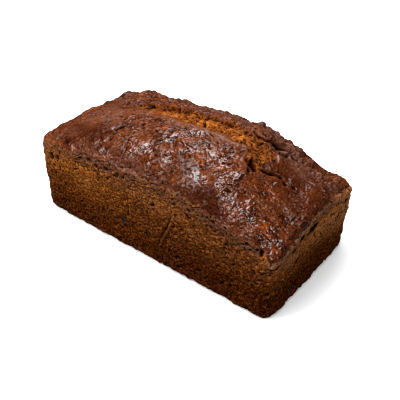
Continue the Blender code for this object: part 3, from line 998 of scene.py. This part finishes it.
class Coats:
    """A surface's colour, laid on coat by coat."""

    def __init__(self, board: Board, colour: object) -> None:
        """Starts with one colour all over."""
        self.board = board
        self.colour = colour

    def lay(self, colour: object, *shares: object) -> None:
        """Lays a colour on as thickly as the product of the shares says."""
        self.colour = self.board.mix(self.board.times(*shares), self.colour, colour)

    def stain(self, tint: Colour, share: object) -> None:
        """Multiplies the colour by a tint, as far as the share says."""
        self.lay(self.board.mix(1.0, self.colour, tint, "MULTIPLY"), share)


class SharedLooks:
    """The shader groups that several of the loaf's materials use, each built once."""

    def __init__(self) -> None:
        """Builds the groups."""
        self.mottle = self._mottle()
        self.shade_hollows = self._shade_hollows()
        self.crisp_grain = self._crisp_grain()

    @staticmethod
    def _group(name: str, inputs: dict[str, str], outputs: dict[str, str]) -> tuple:
        """Makes an empty group with named sockets.

        Args:
            name: The group's name.
            inputs: The kind of each input, such as Color.
            outputs: The kind of each output.

        Returns:
            The group, a board for its nodes, its inputs and its outputs.
        """
        tree = bpy.data.node_groups.new(name, "ShaderNodeTree")
        for way, sockets in (("INPUT", inputs), ("OUTPUT", outputs)):
            for label, kind in sockets.items():
                tree.interface.new_socket(label, in_out=way, socket_type=f"NodeSocket{kind}")
        board = Board(tree)
        given = board.add("NodeGroupInput").outputs
        board.place = given.get("Vector")
        return tree, board, given, board.add("NodeGroupOutput").inputs

    def _mottle(self) -> bpy.types.NodeTree:
        """Patches of three browns, one large pattern broken up by a small one."""
        browns = {"Dark": "Color", "Middle": "Color", "Bright": "Color"}
        tree, board, given, made = self._group(
            "browned_mottle",
            {"Vector": "Vector", "Size": "Float", **browns, "Bright Share": "Float"},
            {"Color": "Color"},
        )
        broad = board.noise(given["Size"], 4.0, 0.62)
        small = board.noise(board.times(given["Size"], 0.27), 3.0, 0.6)
        both = board.scaled(broad, 0.6, board.times(small, 0.4))
        lower = board.mix(board.between(both, 0.40, 0.54), given["Dark"], given["Middle"])
        start = board.scaled(given["Bright Share"], -0.20, 0.64)
        upper = board.between(both, start, board.maths("ADD", start, 0.09))
        board.feed(made["Color"], board.mix(upper, lower, given["Bright"]))
        return tree

    def _shade_hollows(self) -> bpy.types.NodeTree:
        """Darkens hollows, pits and slits with painted shade, and dries out what stands proud,
        which on the crust is partly painted sheen.
        """
        colours = {"Color": "Color", "Deep Color": "Color", "Proud Color": "Color"}
        numbers = ("Hollow", "Fine Hollow", "Depth", "Dryness", "Crack")
        tree, board, given, made = self._group(
            "shaded_hollows",
            {**colours, **dict.fromkeys(numbers, "Float")},
            {"Color": "Color", "Depth": "Float"},
        )
        fine = board.times(board.between(given["Fine Hollow"], 0.05, 0.7), 0.8)
        deep = board.maths("MAXIMUM", board.between(given["Hollow"], 0.02, 0.55), fine)
        # Painted shade: the larger of the hollows' shade and the painted crack shadow.
        deep = board.maths("MAXIMUM", board.times(deep, given["Depth"]), given["Crack"])
        coats = Coats(board, given["Color"])
        proud = board.between(given["Hollow"], -0.1, -0.8)
        coats.lay(given["Proud Color"], proud, given["Dryness"])
        coats.lay(given["Deep Color"], deep)
        board.feed(made["Color"], coats.colour)
        board.feed(made["Depth"], deep)
        return tree

    def _crisp_grain(self) -> bpy.types.NodeTree:
        """Fine grain as a height in millimetres."""
        tree, board, given, made = self._group(
            "crisp_grain",
            {"Vector": "Vector", "Size": "Float", "Height": "Float"},
            {"Height": "Float"},
        )
        grain = board.maths("SUBTRACT", board.noise(given["Size"], 4.0, 0.65), 0.5)
        board.feed(made["Height"], board.times(grain, given["Height"]))
        return tree


@dataclass(frozen=True)
class BakedFinish:
    """One finish of the loaf, from its glazed crust to the crumb of its sides.

    Every finish has all three surfaces in it, so that they run into each other along broken
    lines. Its colours are named for the surface and what they colour there.

    Attributes:
        name: The material's name.
        glaze_roughness: Roughness of the glaze.
        glaze_index: How strongly the glaze mirrors light, as an index of refraction.
    """

    name: str
    glaze_roughness: float = 0.13
    glaze_index: float = 1.85

    crust_dark: Colour = (0.026, 0.0048, 0.0014)
    crust_middle: Colour = (0.098, 0.0255, 0.0085)
    crust_bright: Colour = (0.260, 0.062, 0.010)
    # Painted shade for the crust's hollows, also laid on as dark specks.
    crust_speck_and_shade: Colour = (0.006, 0.0014, 0.0005)
    # A drier brown for ridges, greyed with painted sheen.
    crust_dry_and_sheen: Colour = (0.150, 0.054, 0.028)
    char: Colour = (0.034, 0.006, 0.0015)
    wetting: Colour = (0.95, 0.66, 0.40)
    lip_brown: Colour = (0.130, 0.043, 0.019)
    # A pale matte brown, greyed with painted sheen.
    pale_brown_and_sheen: Colour = (0.128, 0.051, 0.033)
    raisin: Colour = (0.030, 0.012, 0.008)
    torn_dark: Colour = (0.050, 0.011, 0.002)
    torn_middle: Colour = (0.275, 0.080, 0.014)
    torn_bright: Colour = (0.345, 0.108, 0.020)
    torn_crust: Colour = (0.120, 0.030, 0.008)
    # Painted shade for the torn crumb's hollows.
    torn_hollow_shade: Colour = (0.012, 0.0025, 0.0005)
    side_dark: Colour = (0.040, 0.011, 0.002)
    side_middle: Colour = (0.165, 0.049, 0.0078)
    side_bright: Colour = (0.520, 0.165, 0.020)
    # Painted shade for the sides' hollows and pits.
    side_hollow_shade: Colour = (0.010, 0.0025, 0.0005)
    side_dry: Colour = (0.084, 0.038, 0.024)
    side_red: Colour = (0.190, 0.040, 0.010)
    side_ember: Colour = (0.200, 0.055, 0.009)
    side_pale: Colour = (0.320, 0.140, 0.068)
    side_crest: Colour = (0.230, 0.115, 0.062)
    # The tint of the painted shade.
    side_shade: Colour = (0.24, 0.16, 0.09)
    fruit: Colour = (0.020, 0.016, 0.013)
    base_brown: Colour = (0.075, 0.024, 0.006)

    def material(self, looks: SharedLooks) -> bpy.types.Material:
        """Builds the material.

        Args:
            looks: The shared shader groups.

        Returns:
            The finished material.
        """
        made = bpy.data.materials.new(self.name)
        made.use_nodes = True
        made.node_tree.nodes.clear()
        board = Board(made.node_tree)
        board.place = board.add("ShaderNodeTexCoord").outputs["Object"]
        shader = board.add("ShaderNodeBsdfPrincipled")
        output = board.add("ShaderNodeOutputMaterial")
        board.feed(output.inputs["Surface"], shader.outputs["BSDF"])
        shader.inputs["Specular IOR Level"].default_value = 0.0
        shader.inputs["Coat Roughness"].default_value = self.glaze_roughness
        shader.inputs["Coat IOR"].default_value = self.glaze_index

        breakup = board.maths("SUBTRACT", board.noise(3.5), 0.5)
        torn = board.between(board.scaled(breakup, 1.6, board.painted("torn")), 0.3, 0.7)
        crust = board.between(board.scaled(breakup, 9.0, board.painted("edge_gap")), -1.5, 1.5)
        glazed = board.times(crust, board.maths("SUBTRACT", 1.0, torn))
        top_colour, depth = self._crust(board, looks)
        top_colour = board.mix(torn, top_colour, self._torn(board, looks))
        colour = board.mix(crust, self._side(board, looks), top_colour)
        gloss = self._gloss(board, glazed, depth)
        matte = board.scaled(board.noise(2.2), 0.25, 0.50)
        board.feed(shader.inputs["Base Color"], colour)
        board.feed(shader.inputs["Coat Weight"], gloss)
        board.feed(shader.inputs["Roughness"], board.scaled(gloss, -0.22, matte))
        board.feed(shader.inputs["Normal"], self._grain(board, looks, glazed))
        return made

    @staticmethod
    def _mottled(
        board: Board, looks: SharedLooks, size: float, browns: Sequence[Colour], share: object
    ) -> Coats:
        """Mottles a surface in its dark, middle and bright brown."""
        dark, middle, bright = browns
        made = board.group(
            looks.mottle,
            Vector=board.place,
            Size=size,
            Dark=dark,
            Middle=middle,
            Bright=bright,
            Bright_Share=share,
        )
        return Coats(board, made["Color"])

    @staticmethod
    def _shaded(
        board: Board,
        looks: SharedLooks,
        colour: object,
        deep: Colour,
        proud: Colour,
        depth: float,
        dryness: object = 0.25,
    ) -> dict[str, Socket]:
        """Paints shade into a surface's hollows and dries it where it stands proud, which on the
        crust is partly painted sheen.
        """
        return board.group(
            looks.shade_hollows,
            Color=colour,
            Hollow=board.painted("hollow"),
            Fine_Hollow=board.painted("fine_hollow"),
            Deep_Color=deep,
            Proud_Color=proud,
            Depth=depth,
            Dryness=dryness,
            Crack=board.painted("crack_shade"),
        )

    @staticmethod
    def _charring(board: Board) -> Socket:
        """Breaks the dark patches up into ragged spots."""
        ragged = board.scaled(board.noise(4.5, 4.0, 0.7), 3.4, -0.7)
        return board.times(board.painted("dark"), ragged, clamp=True)

    @staticmethod
    def _bare_fruit(board: Board, size: float, raggedness: float, low: float) -> Socket:
        """Tells where bare fruit shows, its outline broken up by noise of this size."""
        ragged = board.scaled(board.noise(size, 3.0, 0.6), raggedness, -raggedness / 2.0)
        return board.between(board.maths("ADD", board.painted("fruit"), ragged), low, 0.75)

    def _gloss(self, board: Board, glazed: Socket, depth: Socket) -> Socket:
        """Works out how much glaze lies on each place: broken up, and none in deep hollows."""
        thick = board.painted("thick")
        broken = board.maths("MAXIMUM", board.spots(8.0, 4.0, 0.6, 0.34, 0.52), thick)
        specks = board.scaled(thick, 0.6, board.spots(2.2, 3.0, 0.65, 0.43, 0.54), clamp=True)
        return board.times(
            board.scaled(board.painted("glaze"), 0.78, 0.22),
            broken,
            glazed,
            board.scaled(specks, 0.9, 0.1),
            board.scaled(self._charring(board), -0.9, 1.0),
            board.maths("SUBTRACT", 1.0, depth),
            clamp=True,
        )

    def _grain(self, board: Board, looks: SharedLooks, glazed: Socket) -> Socket:
        """Roughens the surface with fine and coarser grain, less under thick glaze."""
        fine = board.group(looks.crisp_grain, Vector=board.place, Size=0.9, Height=0.20)
        coarse = board.group(looks.crisp_grain, Vector=board.place, Size=2.0, Height=0.26)
        calm = board.scaled(board.painted("thick"), 0.45, 0.2, clamp=True)
        left = board.maths("SUBTRACT", 1.0, board.times(glazed, calm))
        bump = board.add("ShaderNodeBump")
        bump.inputs["Distance"].default_value = MM
        bump.inputs["Strength"].default_value = 1.0
        height = board.maths("ADD", fine["Height"], coarse["Height"])
        board.feed(bump.inputs["Height"], board.times(height, left))
        return bump.outputs["Normal"]

    def _crust(self, board: Board, looks: SharedLooks) -> tuple[Socket, Socket]:
        """Colours the crust: mottled browns, dry ridges that are partly painted sheen, and creases
        painted nearly black with shade.

        Args:
            board: The material's board.
            looks: The shared shader groups.

        Returns:
            The colour, and how deep in a hollow each place lies.
        """
        glaze = board.painted("glaze")
        browns = (self.crust_dark, self.crust_middle, self.crust_bright)
        share = board.scaled(board.painted("warm"), 0.55, 0.30)
        coats = self._mottled(board, looks, 9.0, browns, share)
        coats.stain(self.wetting, board.times(glaze, 0.95, clamp=True))
        coats.lay(self.crust_bright, board.spots(1.5, 2.0, 0.6, 0.54, 0.66), 0.45)
        coats.lay(self.crust_speck_and_shade, board.spots(1.9, 2.0, 0.6, 0.42, 0.32), 0.6)
        coats.lay(self.char, self._charring(board))
        coats.lay(self.lip_brown, board.painted("lip"), 0.55)
        matte = board.spots(7.0, 4.0, 0.6, 0.30, 0.60)
        # Pale patches, partly painted sheen.
        coats.lay(self.pale_brown_and_sheen, board.painted("pale"), matte, 0.75)
        dryness = board.scaled(glaze, -0.3, 0.35)
        dryness = board.maths("SUBTRACT", dryness, board.painted("dark"), clamp=True)
        shaded = self._shaded(
            board, looks, coats.colour, self.crust_speck_and_shade, self.crust_dry_and_sheen, 0.9, dryness
        )
        coats.colour = shaded["Color"]
        coats.lay(self.raisin, self._bare_fruit(board, 2.2, 1.8, 0.4), 0.85)
        return coats.colour, shaded["Depth"]

    def _torn(self, board: Board, looks: SharedLooks) -> Socket:
        """Colours the torn crumb: bright orange-brown with dark pits, and painted shade in its
        hollows.
        """
        warm = board.painted("warm")
        browns = (self.torn_dark, self.torn_middle, self.torn_bright)
        coats = self._mottled(board, looks, 9.0, browns, board.scaled(warm, 0.7, 0.2))
        crusted = board.times(board.spots(7.0, 4.0, 0.6, 0.42, 0.54), 0.85)
        coats.lay(self.torn_crust, board.scaled(warm, -0.6, crusted, clamp=True))
        coats.lay(self.torn_dark, board.painted("dark"))
        shaded = self._shaded(board, looks, coats.colour, self.torn_hollow_shade, self.torn_bright, 0.92)
        return shaded["Color"]

    def _side(self, board: Board, looks: SharedLooks) -> Socket:
        """Colours the sides: speckled crumb, greyer under the rim and darker towards the base,
        partly real browning and partly painted shade.
        """
        warm, gap, shade = (board.painted(name) for name in ("warm", "edge_gap", "shade"))
        browns = (self.side_dark, self.side_middle, self.side_bright)
        coats = self._mottled(board, looks, 3.4, browns, board.scaled(warm, 0.7, 0.4))
        coats.lay(self.side_red, board.spots(5.0, 4.0, 0.7, 0.46, 0.56), 0.7)
        coats.lay(self.side_dark, board.spots(3.0, 3.0, 0.65, 0.46, 0.37), 0.8)
        coats.lay(self.side_dark, board.spots(8.0, 4.0, 0.7, 0.50, 0.38), 0.6)
        coats.lay(self.side_bright, board.spots(1.8, 3.0, 0.6, 0.51, 0.61), 0.65)
        coats.lay(self.side_bright, warm, 0.4)
        upper = board.between(gap, -45.0, -8.0)
        coats.lay(self.side_dry, board.spots(5.5, 4.0, 0.7, 0.50, 0.60), 0.55, upper)
        streaks = board.spots(6.0, 4.0, 0.6, 0.28, 0.60)
        under_rim = board.between(gap, -15.0, -1.0)
        bare = board.scaled(warm, -0.7, 1.0, clamp=True)
        coats.lay(self.side_dry, under_rim, streaks, 0.9, bare)
        pale = board.spots(4.0, 4.0, 0.7, 0.36, 0.56)
        coats.lay(self.side_pale, board.painted("pale"), pale, 0.75)
        coats.lay(self.side_crest, board.painted("crest"), board.scaled(streaks, 0.65, 0.3))
        # Painted shade, as far as the shade share says.
        coats.stain(self.side_shade, shade)
        coats.lay(self.side_ember, board.spots(1.9, 2.0, 0.6, 0.53, 0.64), 0.45, shade)
        coats.lay(self.fruit, self._bare_fruit(board, 2.0, 1.6, 0.35), 0.85)
        coats.lay(self.base_brown, board.painted("base"), 0.8)
        shaded = self._shaded(board, looks, coats.colour, self.side_hollow_shade, self.side_dry, 0.95)
        return shaded["Color"]


@dataclass(frozen=True)
class Softbox:
    """A soft rectangular light that faces the loaf.

    Attributes:
        name: The light's name.
        spot: Where it hangs, in metres.
        size: Its width and height, in metres.
        power: Its power in watts.
    """

    name: str
    spot: Point
    size: Place
    power: float

    def hang(self) -> None:
        """Adds the light."""
        bpy.ops.object.light_add(type="AREA", location=self.spot)
        lamp = bpy.context.object
        lamp.name = self.name
        lamp.data.shape = "RECTANGLE"
        lamp.data.size, lamp.data.size_y = self.size
        lamp.data.energy = self.power
        aim = Vector((0.0, 0.0, 0.05)) - Vector(self.spot)
        lamp.rotation_euler = aim.to_track_quat("-Z", "Y").to_euler()


SOFTBOXES = (
    Softbox("key_softbox", (-0.20, 0.20, 0.97), (0.80, 0.56), 9.6),
    Softbox("high_softbox", (-0.66, 0.08, 0.76), (0.26, 0.26), 1.2),
    Softbox("low_softbox", (-0.74, 0.48, 0.52), (0.26, 0.22), 1.0),
    Softbox("back_softbox", (-0.35, 0.75, 0.62), (0.6, 0.4), 2.6),
    Softbox("left_softbox", (-0.42, -0.40, 0.86), (0.58, 0.42), 6.4),
    Softbox("near_softbox", (0.30, -0.45, 0.95), (0.38, 0.38), 3.6),
    Softbox("fill_softbox", (-0.30, -0.85, 0.55), (0.7, 0.5), 6.6),
    Softbox("end_softbox", (1.00, 0.00, 0.80), (0.6, 0.5), 5.6),
)


@dataclass(frozen=True)
class Studio:
    """The pale floor, the soft lights and the camera.

    Attributes:
        eye: Where the camera stands, in metres.
        aim: The point that it looks at.
        lens: Its focal length in mm, for a sensor of the next width.
        sensor: The sensor's width in mm.
        floor_size: The floor's side, in metres.
        floor_white: How light the floor looks, and how light it is for bounced light.
        fade: The distances between which the floor fades to plain white.
        sky: The sky's strength, what a mirrored ray adds to it, and what a camera ray adds.
    """

    eye: Point = (0.3380, -0.4420, 0.5115)
    aim: Point = (-0.0108, 0.0211, 0.0)
    lens: float = 90.0
    sensor: float = 36.0
    floor_size: float = 8.0
    floor_white: Place = (0.95, 0.06)
    fade: Place = (0.4, 1.2)
    sky: Point = (0.12, -0.09, 0.88)

    def build(self) -> None:
        """Makes all of it."""
        self._floor()
        self._sky()
        for softbox in SOFTBOXES:
            softbox.hang()
        self._camera()

    def _floor(self) -> None:
        """Lays a pale floor that throws little light back onto the loaf."""
        bpy.ops.object.select_all(action="DESELECT")
        bpy.ops.mesh.primitive_plane_add(size=self.floor_size)
        floor = bpy.context.object
        floor.name = "floor"
        pale = bpy.data.materials.new("pale_floor")
        pale.use_nodes = True
        pale.node_tree.nodes.clear()
        board = Board(pale.node_tree)
        seen, bounced = (board.add("ShaderNodeBsdfDiffuse") for _ in self.floor_white)
        for shader, white in zip((seen, bounced), self.floor_white):
            shader.inputs["Color"].default_value = (white, white, white, 1.0)
        distance = board.add("ShaderNodeVectorMath", operation="LENGTH")
        board.feed(distance.inputs[0], board.add("ShaderNodeTexCoord").outputs["Object"])
        far = board.between(distance.outputs["Value"], *self.fade)
        faded = self._either(board, far, seen, board.add("ShaderNodeEmission"))
        path = board.add("ShaderNodeLightPath")
        both = self._either(board, path.outputs["Is Camera Ray"], bounced, faded)
        output = board.add("ShaderNodeOutputMaterial")
        board.feed(output.inputs["Surface"], both.outputs[0])
        floor.data.materials.append(pale)

    @staticmethod
    def _either(
        board: Board, share: Socket, first: bpy.types.Node, second: bpy.types.Node
    ) -> bpy.types.Node:
        """Mixes two shaders."""
        mixed = board.add("ShaderNodeMixShader")
        for socket, value in zip(mixed.inputs, (share, first.outputs[0], second.outputs[0])):
            board.feed(socket, value)
        return mixed

    def _sky(self) -> None:
        """Fills the shadows with weak even light."""
        world = bpy.data.worlds.new("studio")
        world.use_nodes = True
        board = Board(world.node_tree)
        background = world.node_tree.nodes["Background"]
        background.inputs["Color"].default_value = (1.0, 1.0, 1.0, 1.0)
        path = board.add("ShaderNodeLightPath").outputs
        strength, mirrored, seen = self.sky
        strength = board.scaled(path["Is Glossy Ray"], mirrored, strength)
        strength = board.scaled(path["Is Camera Ray"], seen, strength)
        board.feed(background.inputs["Strength"], strength)
        bpy.context.scene.world = world

    def _camera(self) -> None:
        """Sets up the camera at the photograph's viewing angle."""
        bpy.ops.object.camera_add(location=self.eye)
        camera = bpy.context.object
        camera.data.lens = self.lens
        camera.data.sensor_width = self.sensor
        camera.data.clip_start = 0.01
        aim = Vector(self.aim) - Vector(self.eye)
        camera.rotation_euler = aim.to_track_quat("-Z", "Y").to_euler()
        scene = bpy.context.scene
        scene.camera = camera
        scene.view_settings.view_transform = "Standard"
        scene.cycles.filter_width = 1.1


def join_frame(piece: bpy.types.Object, material: bpy.types.Material) -> None:
    """Dresses a piece and ties it to the loaf's frame.

    Args:
        piece: A finished mesh, in place.
        material: Its finish.
    """
    piece.data.materials.clear()
    piece.data.materials.append(material)
    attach(piece, BODY)
    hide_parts(NODE)
    LOG.info("%s: %d faces", piece.name, len(piece.data.polygons))


def main() -> None:
    """Builds the loaf's pieces and the studio."""
    logging.basicConfig(level=logging.INFO, format="%(message)s")
    looks = SharedLooks()
    glazed = BakedFinish("glazed_crust").material(looks)
    bare = BakedFinish("tin_baked_crumb").material(looks)
    for zone, piece in LoafSkin().build().items():
        on_top = zone in (Zone.CRUST_FRONT, Zone.CRUST_BACK, Zone.TORN_CRUMB)
        join_frame(piece, glazed if on_top else bare)
    Studio().build()


if __name__ == "__main__":
    main()
